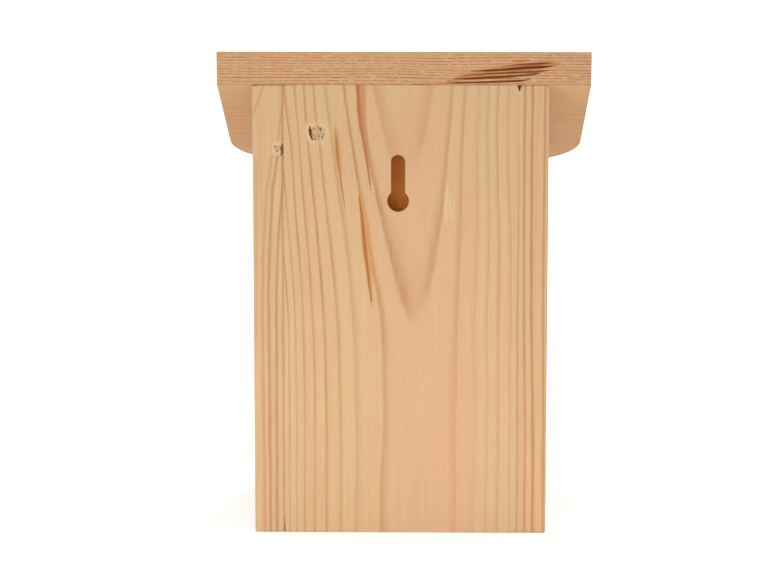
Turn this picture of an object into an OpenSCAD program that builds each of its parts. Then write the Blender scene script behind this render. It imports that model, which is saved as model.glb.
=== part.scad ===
// Wall-hung bee hotel: a sloping roof over a screwed box of pine boards, filled with
// bamboo nesting canes above a shelf and a drilled hardwood nesting block below it.
// +Z is up, the open front faces -Y and the wall face is at +Y. All sizes are millimetres.
// The origin is under the middle of the roof, level with the foot of the box.

/* [Boards] */
// Thickness of the roof, side, back and floor boards
board_t = 15; // [12:0.5:20]
// Outer width of the box
body_w = 147; // [125:1:170]
// Depth of the box, from the wall face to the front edges
body_d = 110; // [100:1:130]
// Height of the box at the wall face
back_h = 228; // [220:1:250]
// Thickness of the shelf between the block and the canes
shelf_t = 9; // [8:0.5:15]

/* [Roof] */
// Slope of the roof, down towards the front, in degrees
roof_slope = 23; // [15:0.5:26]
// Width of the roof board
roof_w = 185; // [172:1:210]
// How far the roof reaches past the front edges of the box
roof_overhang = 30; // [20:1:40]
// Radius of the roof's two front corners
roof_corner_r = 42; // [10:1:60]
// How far the box sits off the middle of the roof
box_shift = 1.6; // [-3:0.1:3]

/* [Keyhole] */
// Diameter of the hole that the head of the wall screw enters
keyhole_hole_d = 10.8; // [10:0.1:12]
// Width of the slot that drops over the shank of the wall screw
keyhole_slot_w = 7; // [5:0.1:7]
// Width of the channel behind the lip, where the head slides
keyhole_channel_w = 11.2; // [11:0.1:14]
// Length of the keyhole from the top of the slot to the foot of the hole
keyhole_len = 28.5; // [22:0.5:35]
// Distance from the top edge of the back board to the top of the slot
keyhole_drop = 35; // [20:0.5:45]
// Sideways distance of the keyhole from the middle of the board
keyhole_shift = 1.2; // [-3:0.1:3]
// Depth of the keyhole pocket
keyhole_depth = 9; // [8:0.5:10]
// Thickness of the lip that the screw head hooks behind
keyhole_lip = 4.5; // [4:0.25:5]

/* [Nesting block] */
// Height of the drilled block
block_h = 66; // [50:1:70]
// Setback of the block's face from the front edges of the box
block_recess = 3; // [1:0.5:8]
// Gap between the back of the block and the back board
block_back_gap = 0.5; // [0.2:0.1:2]
// Diameter of the smallest nesting hole
hole_d_min = 6; // [6:0.5:7]
// Step between the hole sizes
hole_d_step = 1; // [0.5:0.1:1]
// Number of different hole sizes
hole_sizes = 5; // [3:1:5]
// Distance between neighbouring holes in a row
hole_pitch_x = 23; // [18:0.5:26]
// Distance between the rows of holes
hole_pitch_z = 20; // [16:0.5:24]
// Thickness of the wood left behind the nesting holes
hole_back_t = 11.5; // [6:0.5:20]
// Least distance from a hole's axis to the side or top of the block
hole_edge = 11; // [8:0.5:14]
// Width of the chamfer round each hole's mouth
hole_chamfer = 0.6; // [0.2:0.1:1]

/* [Canes] */
// Outer diameter of the thinnest canes
cane_d_min = 12; // [11:0.2:13]
// Outer diameter of the thickest canes
cane_d_max = 18.4; // [17:0.2:21]
// Wall thickness of the thin-walled canes
cane_wall_min = 2.35; // [2:0.05:3]
// Wall thickness of the thick-walled canes
cane_wall_max = 4.4; // [3:0.1:4.6]
// Setback of the longest canes from the front edges of the box
cane_recess = 4; // [1:0.5:10]
// How much shorter the shortest canes are
cane_len_spread = 4; // [0:0.5:6]
// Thickness of the natural partition that closes the back of a cane
cane_node_t = 7; // [4:0.5:12]
// Gap between one cane and the next
cane_gap = 0.1; // [0.05:0.05:0.3]

/* [Screws] */
// Shank diameter of the wood screws
screw_d = 3; // [2.5:0.1:3.5]
// Length of the wood screws
screw_len = 30; // [25:1:32]
// Diameter of the countersunk heads
screw_head_d = 6.4; // [5.5:0.1:7]
// How far the heads sit below the surface
screw_sink = 0.2; // [0.1:0.05:0.5]
// Gap round a screw in its hole
screw_gap = 0.05; // [0.02:0.01:0.1]
// Height of the straight rim of the heads
screw_rim_h = 0.5; // [0.2:0.1:0.8]
// Width of the arms of the cross recess
screw_recess_w = 0.9; // [0.6:0.1:1.2]
// Depth of the cross recess
screw_recess_h = 1.4; // [1:0.1:1.8]
// Number of screws from each side board into the back board
back_screws = 3; // [2:1:5]
// Distance from those screws to the foot and to the top of the box
back_screw_in = 25; // [15:1:40]
// Distance from the other side screws to the front edges and to the back board
side_screw_in = 24; // [15:1:35]
// Distance from the roof's outer screws to the wall and to the front edges, along the slope
roof_screw_in = 28; // [22:1:40]
// Distance from the roof's rear screws to the middle of the box
roof_rear_screw_x = 32; // [15:1:45]

/* [Fit] */
// Gap at each side of a piece that slides in between the boards
fit_gap = 0.1; // [0.05:0.05:0.3]

/* [Hidden] */
$fn = 64;
cut = 1;                              // how far a cutter reaches past a face
pine = [0.86, 0.69, 0.49];
pine_warm = [0.83, 0.64, 0.45];
hardwood = [0.76, 0.56, 0.37];
bamboo = [0.85, 0.74, 0.48];
zinc = [0.78, 0.78, 0.76];

// The box: its wall face is at back_y and its front edges at front_y, with the middle of the roof at Y 0
back_y = (body_d + roof_overhang) / 2;
front_y = back_y - body_d;
inner_w = body_w - 2 * board_t;
inner_y = back_y - board_t;
inner_d = body_d - board_t;
side_x = (body_w - board_t) / 2;
function roof_z(y) = back_h - (back_y - y) * tan(roof_slope);

// The roof board, measured along its slope from the wall
roof_reach = body_d + roof_overhang;
roof_len = (roof_reach - board_t * sin(roof_slope)) / cos(roof_slope);

// The nesting block and the shelf over it
block_w = inner_w - 2 * fit_gap;
block_d = inner_d - block_recess - block_back_gap;
block_y = front_y + block_recess;
hole_depth = block_d - hole_back_t;
shelf_z = board_t + block_h;
hole_rows = floor((block_h - 2 * hole_edge) / hole_pitch_z) + 1;
hole_cols = floor((block_w - 2 * hole_edge) / hole_pitch_x) + 1;
hole_low_z = board_t + (block_h - (hole_rows - 1) * hole_pitch_z) / 2;
function hole_d(n) = hole_d_min + hole_d_step * ((n * 3) % hole_sizes);
// Every second row has one hole fewer and sits half a pitch across
holes = [
    for (row = [0 : hole_rows - 1])
        let (in_row = hole_cols - row % 2)
            for (col = [0 : in_row - 1])
                [(col - (in_row - 1) / 2) * hole_pitch_x, hole_low_z + row * hole_pitch_z]
];

// The keyhole, hung on the middle of the back board
keyhole_top_z = back_h - keyhole_drop;
keyhole_slot_z = keyhole_top_z - keyhole_slot_w / 2;
keyhole_hole_z = keyhole_top_z - keyhole_len + keyhole_hole_d / 2;

// Screws: those in a side board lie at [y, z]
screw_head_h = (screw_head_d - screw_d) / 2;
screw_tip_h = screw_d * 1.4;
block_screw_x = 1.5 * hole_pitch_x;   // between two columns of holes
back_screw_step = (roof_z(back_y) - 2 * back_screw_in) / (back_screws - 1);
side_screw_spots = concat(
    [for (k = [0 : back_screws - 1]) [inner_y + board_t / 2, back_screw_in + k * back_screw_step]],
    [for (y = [front_y + side_screw_in, inner_y - side_screw_in]) [y, board_t / 2]],
    [for (y = [front_y + side_screw_in, inner_y - side_screw_in]) [y, shelf_z + shelf_t / 2]]
);
// Roof screws lie at [x, distance along the slope from the wall], and block screws at [x, y]
roof_screw_spots = concat(
    [for (x = [-side_x, side_x], s = [roof_screw_in, body_d / cos(roof_slope) - roof_screw_in]) [x, s]],
    [for (x = [-roof_rear_screw_x, roof_rear_screw_x]) [x, (board_t / 2 + screw_d) / cos(roof_slope)]]
);
block_screw_spots = [for (x = [-block_screw_x, block_screw_x]) [x, (front_y + inner_y) / 2]];

// Canes: spread gives each cane a number of 0 to 1 by the golden ratio, and another one for each use
golden = (sqrt(5) - 1) / 2;
function spread(n, use) = let (v = (n + use / 2) * golden) v - floor(v);
cane_floor_z = shelf_z + shelf_t;
cane_len = inner_d - cane_recess;
cane_top_z = roof_z(inner_y - cane_len) - cane_gap;
cane_wish_d = [for (n = [0 : 79]) cane_d_min + (cane_d_max - cane_d_min) * spread(n, 1)];
canes_across = floor(inner_w / ((cane_d_min + cane_d_max) / 2));

// A cane is [x, z, radius]. It comes to rest in the valley over two others, or over one and a side board
function seat(a, b, r) =
    let (
        reach_a = a[2] + r + cane_gap,
        reach_b = b[2] + r + cane_gap,
        run = [b[0] - a[0], b[1] - a[1]],
        apart = norm(run),
        along = (reach_a * reach_a - reach_b * reach_b + apart * apart) / (2 * apart * apart),
        up = sqrt(max(reach_a * reach_a / (apart * apart) - along * along, 0))
    )
    [a[0] + along * run[0] - up * run[1], a[1] + along * run[1] + up * run[0], r];
function wall_seat(a, side, r) =
    let (x = side * (inner_w / 2 - r - cane_gap), reach = a[2] + r + cane_gap)
    [x, a[1] + sqrt(max(reach * reach - (x - a[0]) * (x - a[0]), 0)), r];
function lies_clear(c, others) =
    abs(c[0]) <= inner_w / 2 - c[2] - cane_gap + 0.001
    && c[1] + c[2] <= cane_top_z
    && min([for (o = others) norm([o[0] - c[0], o[1] - c[1]]) - o[2] - c[2] - cane_gap]) > -0.001;
function seats(laid, r) = [
    for (i = [0 : len(laid) - 1]) each concat(
        [for (side = [-1, 1])
            let (c = wall_seat(laid[i], side, r))
                if (abs(c[0] - laid[i][0]) < laid[i][2] + r && lies_clear(c, laid)) c],
        [for (b = laid)
            let (a = laid[i])
            if (b[0] > a[0] && norm([b[0] - a[0], b[1] - a[1]]) < a[2] + b[2] + 2 * r)
                let (c = seat(a, b, r))
                    if (c[0] > a[0] && c[0] < b[0] && lies_clear(c, laid)) c]
    )
];
function lowest(places) = let (z = min([for (c = places) c[1]])) [for (c = places) if (c[1] == z) c][0];
// Lays one cane after another at the lowest free seat, thinner ones where the wished one finds no room
function lay(laid, n, r = 0) =
    let (
        wish = r > 0 ? r : cane_wish_d[n % len(cane_wish_d)] / 2,
        upper = [for (i = [max(0, len(laid) - 3 * canes_across) : len(laid) - 1]) laid[i]],
        free = seats(upper, wish)
    )
    len(free) > 0 ? lay(concat(laid, [lowest(free)]), n + 1)
    : wish > cane_d_min / 2 ? lay(laid, n, max(wish - 0.4, cane_d_min / 2))
    : laid;

first_row_d = [for (n = [0 : canes_across - 1]) cane_wish_d[n]];
first_row_share = (inner_w - (canes_across + 1) * cane_gap) / (first_row_d * [for (d = first_row_d) 1]);
function first_row(n = 0, x = -inner_w / 2, laid = []) =
    n == canes_across ? laid :
    let (r = first_row_d[n] * first_row_share / 2, c = [x + cane_gap + r, cane_floor_z + cane_gap + r, r])
    first_row(n + 1, x + cane_gap + 2 * r, concat(laid, [c]));
canes = lay(first_row(), canes_across);

function cane_name(n) = str("cane_", n < 9 ? "0" : "", n + 1);
function cane_length(n) = cane_len - cane_len_spread * spread(n, 2);
// Thick canes have the thicker walls, but not all alike
function cane_bore_r(n) =
    let (
        thickness = (2 * canes[n][2] - cane_d_min) / (cane_d_max - cane_d_min),
        share = max(0, min(1, (thickness + spread(n, 3)) / 2))
    )
    canes[n][2] - cane_wall_min - share * (cane_wall_max - cane_wall_min);

// Puts its children where the box stands under the roof
module in_box() {
    translate([box_shift, 0, 0]) children();
}

// A countersunk wood screw with its head's face at the origin and its point at -Z
module screw() {
    difference() {
        union() {
            translate([0, 0, -screw_rim_h]) cylinder(d = screw_head_d, h = screw_rim_h);
            translate([0, 0, -screw_rim_h - screw_head_h])
                cylinder(d1 = screw_d, d2 = screw_head_d, h = screw_head_h);
            translate([0, 0, screw_tip_h - screw_len])
                cylinder(d = screw_d, h = screw_len - screw_tip_h - screw_rim_h);
            translate([0, 0, -screw_len]) cylinder(d1 = 0.3, d2 = screw_d, h = screw_tip_h);
        }
        // cross recess
        for (turn = [0, 90])
            rotate([0, 0, turn]) translate([-screw_head_d * 0.3, -screw_recess_w / 2, -screw_recess_h])
                cube([screw_head_d * 0.6, screw_recess_w, screw_recess_h + cut]);
    }
}

// The hole that a screw goes in, with the same origin as the screw
module screw_hole() {
    translate([0, 0, -screw_rim_h])
        cylinder(d = screw_head_d + 2 * screw_gap, h = screw_rim_h + screw_sink + cut);
    translate([0, 0, -screw_rim_h - screw_head_h])
        cylinder(d1 = screw_d + 2 * screw_gap, d2 = screw_head_d + 2 * screw_gap, h = screw_head_h);
    translate([0, 0, -screw_len - screw_gap]) cylinder(d = screw_d + 2 * screw_gap, h = screw_len);
}

// Puts its children at each screw of the right side board, turned to point out of the head
module at_side_screws() {
    for (spot = side_screw_spots)
        translate([body_w / 2 - screw_sink, spot[0], spot[1]]) rotate([0, 90, 0]) children();
}

module at_roof_screws() {
    for (spot = roof_screw_spots)
        translate([0, back_y, back_h]) rotate([roof_slope, 0, 0])
            translate([spot[0], -spot[1], board_t - screw_sink]) children();
}

module at_block_screws() {
    for (spot = block_screw_spots)
        translate([spot[0], spot[1], screw_sink]) rotate([180, 0, 0]) children();
}

// Everything below the roof's underside
module under_roof() {
    rotate([90, 0, 90]) translate([0, 0, -body_w])
        linear_extrude(2 * body_w)
            polygon([[front_y, 0], [back_y, 0], [back_y, roof_z(back_y)], [front_y, roof_z(front_y)]]);
}

module roof_outline() {
    rear = board_t * tan(roof_slope) + cut;
    translate([-roof_w / 2, roof_corner_r - roof_len]) square([roof_w, roof_len - roof_corner_r + rear]);
    translate([roof_corner_r - roof_w / 2, -roof_len]) square([roof_w - 2 * roof_corner_r, roof_len]);
    for (side = [-1, 1])
        translate([side * (roof_w / 2 - roof_corner_r), roof_corner_r - roof_len])
            circle(r = roof_corner_r, $fn = 128);
}

module roof_board() {
    color(pine)
    difference() {
        translate([0, back_y, back_h]) rotate([roof_slope, 0, 0]) linear_extrude(board_t) roof_outline();
        // plumb cut, flush with the wall face
        translate([-roof_w, back_y, 0]) cube([2 * roof_w, 4 * board_t, 2 * back_h]);
        in_box() at_roof_screws() screw_hole();
    }
}

module side_board() {
    difference() {
        intersection() {
            translate([body_w / 2 - board_t, front_y, 0]) cube([board_t, body_d, back_h]);
            under_roof();
        }
        at_side_screws() screw_hole();
        at_roof_screws() screw_hole();
    }
}

module right_side_board() { color(pine) in_box() side_board(); }
module left_side_board() { color(pine) in_box() mirror([1, 0, 0]) side_board(); }

// A round-ended slot from the keyhole's hole up to its top
module keyhole_slot(w, from, to) {
    for (z = [keyhole_hole_z, keyhole_slot_z])
        translate([0, z, from]) cylinder(d = w, h = to - from);
    translate([-w / 2, keyhole_hole_z, from]) cube([w, keyhole_slot_z - keyhole_hole_z, to - from]);
}

// The pocket for the wall screw: its head goes in at the round hole and the slot drops over its shank
module keyhole() {
    translate([keyhole_shift, back_y, 0]) rotate([90, 0, 0]) {
        translate([0, keyhole_hole_z, -cut]) cylinder(d = keyhole_hole_d, h = keyhole_lip + cut);
        keyhole_slot(keyhole_slot_w, -cut, keyhole_lip);
        keyhole_slot(keyhole_channel_w, keyhole_lip, keyhole_depth);
    }
}

module back_board() {
    color(pine)
    in_box() difference() {
        intersection() {
            translate([-inner_w / 2, inner_y, 0]) cube([inner_w, board_t, back_h]);
            under_roof();
        }
        keyhole();
        at_side_screws() screw_hole();
        mirror([1, 0, 0]) at_side_screws() screw_hole();
        at_roof_screws() screw_hole();
    }
}

module floor_board() {
    color(pine)
    in_box() difference() {
        translate([-inner_w / 2, front_y, 0]) cube([inner_w, inner_d, board_t]);
        at_side_screws() screw_hole();
        mirror([1, 0, 0]) at_side_screws() screw_hole();
        at_block_screws() screw_hole();
    }
}

module shelf_board() {
    color(pine_warm)
    in_box() difference() {
        translate([-inner_w / 2, front_y, shelf_z]) cube([inner_w, inner_d, shelf_t]);
        at_side_screws() screw_hole();
        mirror([1, 0, 0]) at_side_screws() screw_hole();
    }
}

module nesting_hole(d) {
    rotate([-90, 0, 0]) {
        translate([0, 0, -cut]) cylinder(d = d, h = hole_depth + cut);
        cylinder(d1 = d + 2 * hole_chamfer, d2 = d, h = hole_chamfer);
    }
}

module nesting_block() {
    color(hardwood)
    in_box() difference() {
        translate([-block_w / 2, block_y, board_t]) cube([block_w, block_d, block_h]);
        for (n = [0 : len(holes) - 1])
            translate([holes[n][0], block_y, holes[n][1]]) nesting_hole(hole_d(n));
        at_block_screws() screw_hole();
    }
}

// A length of bamboo cut just behind a joint, so that its natural partition closes the back end
module cane(n) {
    c = canes[n];
    color(bamboo)
    in_box() translate([c[0], inner_y, c[1]]) rotate([90, 0, 0])
        difference() {
            cylinder(r = c[2], h = cane_length(n));
            translate([0, 0, cane_node_t]) cylinder(r = cane_bore_r(n), h = cane_length(n));
        }
}

module roof_screws() { color(zinc) in_box() at_roof_screws() screw(); }
module right_side_screws() { color(zinc) in_box() at_side_screws() screw(); }
module left_side_screws() { color(zinc) in_box() mirror([1, 0, 0]) at_side_screws() screw(); }
module block_screws() { color(zinc) in_box() at_block_screws() screw(); }

roof_board();
left_side_board();
right_side_board();
back_board();
floor_board();
shelf_board();
nesting_block();
roof_screws();
left_side_screws();
right_side_screws();
block_screws();
for (n = [0 : len(canes) - 1])
    cane(n);
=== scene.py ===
"""Looks of a wall-hung bee hotel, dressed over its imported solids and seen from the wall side.

Planed pine boards with growth rings, resin and knots, a beech block with drilled nests, cut
bamboo canes and zinc-plated screws. A place on a board is given in millimetres: across the board,
out of its face and along its grain.
"""

import math
import random

import bmesh
import bpy
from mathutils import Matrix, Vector


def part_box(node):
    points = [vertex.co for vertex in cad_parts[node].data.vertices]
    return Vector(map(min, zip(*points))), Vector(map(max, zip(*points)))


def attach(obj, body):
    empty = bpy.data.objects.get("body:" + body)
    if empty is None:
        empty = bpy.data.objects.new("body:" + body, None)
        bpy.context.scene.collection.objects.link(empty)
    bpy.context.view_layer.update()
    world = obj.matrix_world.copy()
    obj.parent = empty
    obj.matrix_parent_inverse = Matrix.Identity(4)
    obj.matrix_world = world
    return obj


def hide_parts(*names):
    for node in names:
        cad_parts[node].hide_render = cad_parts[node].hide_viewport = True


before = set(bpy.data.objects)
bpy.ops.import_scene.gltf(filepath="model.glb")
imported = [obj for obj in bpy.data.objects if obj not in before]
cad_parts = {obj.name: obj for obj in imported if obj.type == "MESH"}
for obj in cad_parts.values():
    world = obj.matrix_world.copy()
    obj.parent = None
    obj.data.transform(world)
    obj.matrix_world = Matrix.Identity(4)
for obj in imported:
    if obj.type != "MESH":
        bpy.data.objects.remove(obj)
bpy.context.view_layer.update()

MM = 0.001
WELD = 1e-6
FLAT_TURN = math.radians(1)
SHARP_TURN = math.radians(20)
LONG_EDGE = 8 * MM
EASED = 0.7 * MM
EASED_INSIDE = 0.5 * MM
EASED_BACK = 0.4 * MM
EASED_KEYHOLE = 0.35 * MM
EASED_BLOCK = 0.8 * MM
PINE_RELIEF = 0.04 * MM
BEECH_RELIEF = 0.03 * MM
BAMBOO_RELIEF = 0.05 * MM
ZINC_RELIEF = 0.02 * MM
KEYHOLE_REACH = 12 * MM
BELOW_ALL = -60
ABOVE_ALL = 290
ROOF_SLOPE = math.radians(23)
BACK_LOW, BACK_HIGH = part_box("back_board")
BOX_X = (BACK_LOW.x + BACK_HIGH.x) / 2
WALL_Y = BACK_HIGH.y
BOX_TOP = BACK_HIGH.z

UP = Vector((0, 0, 1))
SIDEWAYS = Vector((1, 0, 0))
WALLWARD = Vector((0, 1, 0))
DOWN_ROOF = Vector((0, -math.cos(ROOF_SLOPE), -math.sin(ROOF_SLOPE)))
OFF_ROOF = Vector((0, -math.sin(ROOF_SLOPE), math.cos(ROOF_SLOPE)))


def srgb(red, green, blue):
    """A colour given as on a screen, 0 to 255, turned into the linear one that a shader takes."""
    linear = [((value / 255 + 0.055) / 1.055) ** 2.4 for value in (red, green, blue)]
    return (*linear, 1.0)


EARLY_PINE = srgb(227, 184, 140)
LATE_PINE = srgb(196, 140, 89)
PINK_LATE = srgb(208, 152, 110)
PINK_PINE = srgb(231, 179, 141)
STRAW_PINE = srgb(224, 189, 142)
HEART_PINE = srgb(219, 165, 120)
HEART_LATE = srgb(166, 100, 58)
RED_RESIN = srgb(188, 118, 64)
PALE_RESIN = srgb(202, 148, 100)
ORANGE_RESIN = srgb(184, 116, 52)
PALE_ORANGE = srgb(220, 160, 98)
DARK_RESIN = srgb(118, 50, 0)
RED_LINE = srgb(182, 102, 54)
RESIN_STAIN = srgb(196, 128, 70)
BROWN_LINE = srgb(186, 134, 86)
# Dark knot wood, and also painted shadow in a small notch at a joint.
KNOT_AND_GAP_SHADOW_DARK = srgb(94, 40, 0)
KNOT_BROWN = srgb(116, 56, 6)
KNOT_CORE = srgb(196, 150, 104)
KNOT_PALE = srgb(238, 208, 168)
PALE_FLECK = srgb(240, 214, 174)
# Painted shadow in the open gap at the foot of a joint.
GAP_SHADOW_DARK = srgb(84, 56, 30)
# Painted shadow in thin gaps between boards: under the roof and at the top of a joint.
GAP_SHADOW_BROWN = srgb(150, 112, 72)
ORANGE_BAND = srgb(230, 180, 126)
GREEN_BAND = srgb(214, 188, 142)
END_GRAIN = srgb(226, 196, 160)
# Painted shade of the routed keyhole's recess: a darker, redder tone for the wood deep in it.
RECESS_SHADE_PINE = srgb(209, 124, 32)


class Wiring:
    """A node tree being filled. Each call adds a node and gives back the output that carries on."""

    def __init__(self, tree):
        self.tree = tree

    def node(self, kind, *inputs, **settings):
        made = self.tree.nodes.new("ShaderNode" + kind)
        for name, value in settings.items():
            setattr(made, name, value)
        for number, value in enumerate(inputs):
            self.feed(made.inputs[number], value)
        return made

    def feed(self, socket, value):
        if isinstance(value, bpy.types.NodeSocket):
            self.tree.links.new(value, socket)
        elif value is not None:
            socket.default_value = value

    def math(self, operation, *values):
        return self.node("Math", *values, operation=operation).outputs[0]

    def vector(self, operation, *values):
        made = self.node("VectorMath", *values, operation=operation)
        return made.outputs["Value" if operation in ("DOT_PRODUCT", "LENGTH") else "Vector"]

    def scaled(self, vector, factor):
        made = self.node("VectorMath", vector, operation="SCALE")
        self.feed(made.inputs["Scale"], factor)
        return made.outputs["Vector"]

    def stretch(self, vector, *factors):
        return self.vector("MULTIPLY", vector, factors)

    def ramp(self, value, start, end, low=0.0, high=1.0):
        """Eases from low to high while value goes from start to end, and stays there beyond them."""
        made = self.node("MapRange", value, start, end, low, high, interpolation_type="SMOOTHSTEP")
        return made.outputs[0]

    def noise(self, vector, detail=2.0, roughness=0.5):
        """Smooth noise of about 0.5, with one swell to each unit of the vector."""
        made = self.node("TexNoise", vector)
        self.feed(made.inputs["Scale"], 1.0)
        self.feed(made.inputs["Detail"], detail)
        self.feed(made.inputs["Roughness"], roughness)
        return made.outputs[0]

    def chance(self, number):
        """An even random number of 0 to 1 for each whole number."""
        return self.node("TexWhiteNoise", None, number, noise_dimensions="1D").outputs[0]

    def mix(self, share, first, second, blend="MIX"):
        made = self.node("Mix", share, data_type="RGBA", blend_type=blend)
        self.feed(made.inputs[6], first)
        self.feed(made.inputs[7], second)
        return made.outputs[2]

    def shaded(self, colour, shade):
        """The colour darkened or lightened by a factor. As in real wood, what is darker is also redder."""
        green = self.math("POWER", shade, 1.3)
        blue = self.math("POWER", shade, 1.7)
        tint = self.node("CombineColor", shade, green, blue).outputs[0]
        return self.mix(1.0, colour, tint, "MULTIPLY")

    def group(self, group, **inputs):
        made = self.tree.nodes.new("ShaderNodeGroup")
        made.node_tree = group
        for name, value in inputs.items():
            self.feed(made.inputs[name], value)
        return made.outputs


def shader_group(name, inputs, outputs):
    """A shared effect. inputs and outputs give each socket's kind by its name."""
    tree = bpy.data.node_groups.new(name, "ShaderNodeTree")
    for in_out, sockets in (("INPUT", inputs), ("OUTPUT", outputs)):
        for socket, kind in sockets.items():
            tree.interface.new_socket(socket, in_out=in_out, socket_type="NodeSocket" + kind)
    given = tree.nodes.new("NodeGroupInput").outputs
    result = tree.nodes.new("NodeGroupOutput").inputs
    return Wiring(tree), given, result


# Swells of noise to a millimetre across a board, out of its face and along its grain.
SWAY_SWELLS = (0.045, 0.045, 0.011)
FIBRE_SWELLS = (3.6, 3.6, 0.16)
STREAK_SWELLS = (0.8, 0.8, 0.022)
CLOUD_SWELLS = (0.06, 0.06, 0.006)
CANAL_SWELLS = (2.4, 2.4, 0.14)
TEAR_SWELLS = (1.9, 1.9, 0.34)
FLECK_SWELLS = (0.8, 0.8, 0.11)
VEIN_SWELLS = (0.5, 0.5, 0.06)
SPECK_SWELLS = (1.1, 1.1, 0.75)
BEECH_FLECK_SWELLS = (3.2, 3.2, 0.42)


def make_board_space():
    """Turns a place on the hotel into millimetres across a board, out of its face and along its grain."""
    directions = ("Across", "Outward", "Along")
    inputs = {name: "Vector" for name in ("Place", "Corner", *directions)}
    wires, given, result = shader_group("board_space", inputs, {"Board": "Vector"})
    reach = wires.scaled(wires.vector("SUBTRACT", given["Place"], given["Corner"]), 1 / MM)
    parts = [wires.vector("DOT_PRODUCT", reach, given[name]) for name in directions]
    wires.feed(result["Board"], wires.node("CombineXYZ", *parts).outputs[0])
    return wires.tree


def make_growth_rings():
    """Rings round a pith below the board's face.

    Start is the radius at which First_ring is met, Slack widens the rings beyond it, and Softness
    widens their late wood.
    """
    numbers = (
        "Pith_across", "Pith_depth", "Ring_width", "Start", "First_ring", "Slack", "Softness", "Contrast",
        "Wander", "Pace", "Seed",
    )
    wires, given, result = shader_group(
        "growth_rings",
        {"Board": "Vector"} | {name: "Float" for name in numbers},
        {"Latewood": "Float", "Ring_tone": "Float"},
    )
    across, outward, _ = wires.node("SeparateXYZ", given["Board"]).outputs
    side = wires.math("SUBTRACT", across, given["Pith_across"])
    below = wires.math("ADD", outward, given["Pith_depth"])
    squares = wires.math("ADD", wires.math("MULTIPLY", side, side), wires.math("MULTIPLY", below, below))
    shift = wires.node("CombineXYZ", given["Seed"], given["Seed"], 0.0).outputs[0]
    swaying = wires.vector("ADD", wires.stretch(given["Board"], *SWAY_SWELLS), shift)
    sway = wires.math("MULTIPLY", wires.math("SUBTRACT", wires.noise(swaying, 1.5), 0.5), given["Wander"])
    radius = wires.math("ADD", wires.math("SQRT", squares), sway)
    beyond = wires.math("SUBTRACT", radius, given["Start"])
    turns = wires.math("ADD", wires.math("DIVIDE", beyond, given["Ring_width"]), given["First_ring"])
    slack = wires.math("MULTIPLY", wires.math("MAXIMUM", beyond, 0.0), given["Slack"])
    turns = wires.math("SUBTRACT", turns, slack)
    pacing = wires.node("CombineXYZ", wires.math("MULTIPLY", turns, 0.37), given["Seed"], 0.0).outputs[0]
    pace = wires.math("SUBTRACT", wires.noise(pacing, 1.0), 0.5)
    turns = wires.math("ADD", turns, wires.math("MULTIPLY", pace, given["Pace"]))
    ring = wires.math("ADD", wires.math("FLOOR", turns), given["Seed"])
    grown = wires.math("FRACT", turns)
    darkest = 0.93
    late_start = wires.math("SUBTRACT", 0.62, wires.math("MULTIPLY", given["Softness"], 0.3))
    late = wires.math("POWER", wires.ramp(grown, late_start, darkest), 1.4)
    late_fall = wires.math("SUBTRACT", darkest, wires.math("MULTIPLY", given["Softness"], 0.13))
    late = wires.math("MULTIPLY", late, wires.ramp(grown, late_fall, 1.0, 1.0, 0.0))
    strength = wires.math("MULTIPLY", wires.ramp(wires.chance(ring), 0.0, 1.0, 0.5, 1.0), given["Contrast"])
    wires.feed(result["Latewood"], wires.math("MULTIPLY", late, strength))
    other_draw = 31.7
    wires.feed(result["Ring_tone"], wires.chance(wires.math("ADD", ring, other_draw)))
    return wires.tree


def make_wood_fibres():
    """Fibres and short dark resin canals along the grain, longer streaks, and broad clouds of tone.

    Tear is where a saw would lift the fibres, and Fleck where a plane has bruised them.
    """
    names = ("Fibre", "Streak", "Cloud", "Canal", "Tear", "Fleck")
    wires, given, result = shader_group(
        "wood_fibres", {"Board": "Vector"}, {name: "Float" for name in names}
    )
    board = given["Board"]
    wires.feed(result["Fibre"], wires.noise(wires.stretch(board, *FIBRE_SWELLS), 3.0, 0.6))
    wires.feed(result["Streak"], wires.noise(wires.stretch(board, *STREAK_SWELLS)))
    wires.feed(result["Cloud"], wires.noise(wires.stretch(board, *CLOUD_SWELLS), 3.0, 0.65))
    canals = wires.noise(wires.stretch(board, *CANAL_SWELLS), 1.0)
    wires.feed(result["Canal"], wires.ramp(canals, 0.7, 0.78))
    tears = wires.noise(wires.stretch(board, *TEAR_SWELLS), 2.0)
    wires.feed(result["Tear"], wires.ramp(tears, 0.5, 0.66))
    flecks = wires.noise(wires.stretch(board, *FLECK_SWELLS), 1.0)
    wires.feed(result["Fleck"], wires.ramp(flecks, 0.72, 0.8))
    return wires.tree


def make_vein():
    """A resin vein or dark line from one place on a board to another, with its half width at either end."""
    wires, given, result = shader_group(
        "vein",
        {"Board": "Vector", "From": "Vector", "To": "Vector", "Half_from": "Float", "Half_to": "Float"},
        {"Mark": "Float"},
    )
    run = wires.vector("SUBTRACT", given["To"], given["From"])
    reach = wires.vector("SUBTRACT", given["Board"], given["From"])
    along = wires.vector("DOT_PRODUCT", reach, run)
    share = wires.math("DIVIDE", along, wires.vector("DOT_PRODUCT", run, run))
    share = wires.math("MINIMUM", wires.math("MAXIMUM", share, 0.0), 1.0)
    away = wires.vector("LENGTH", wires.vector("SUBTRACT", reach, wires.scaled(run, share)))
    uneven = wires.noise(wires.stretch(given["Board"], *VEIN_SWELLS))
    away = wires.math("MULTIPLY", away, wires.ramp(uneven, 0.3, 0.7, 0.8, 1.25))
    growth = wires.math("MULTIPLY", share, wires.math("SUBTRACT", given["Half_to"], given["Half_from"]))
    width = wires.math("ADD", given["Half_from"], growth)
    wires.feed(result["Mark"], wires.ramp(wires.math("DIVIDE", away, width), 0.2, 1.15, 1.0, 0.0))
    return wires.tree


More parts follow.
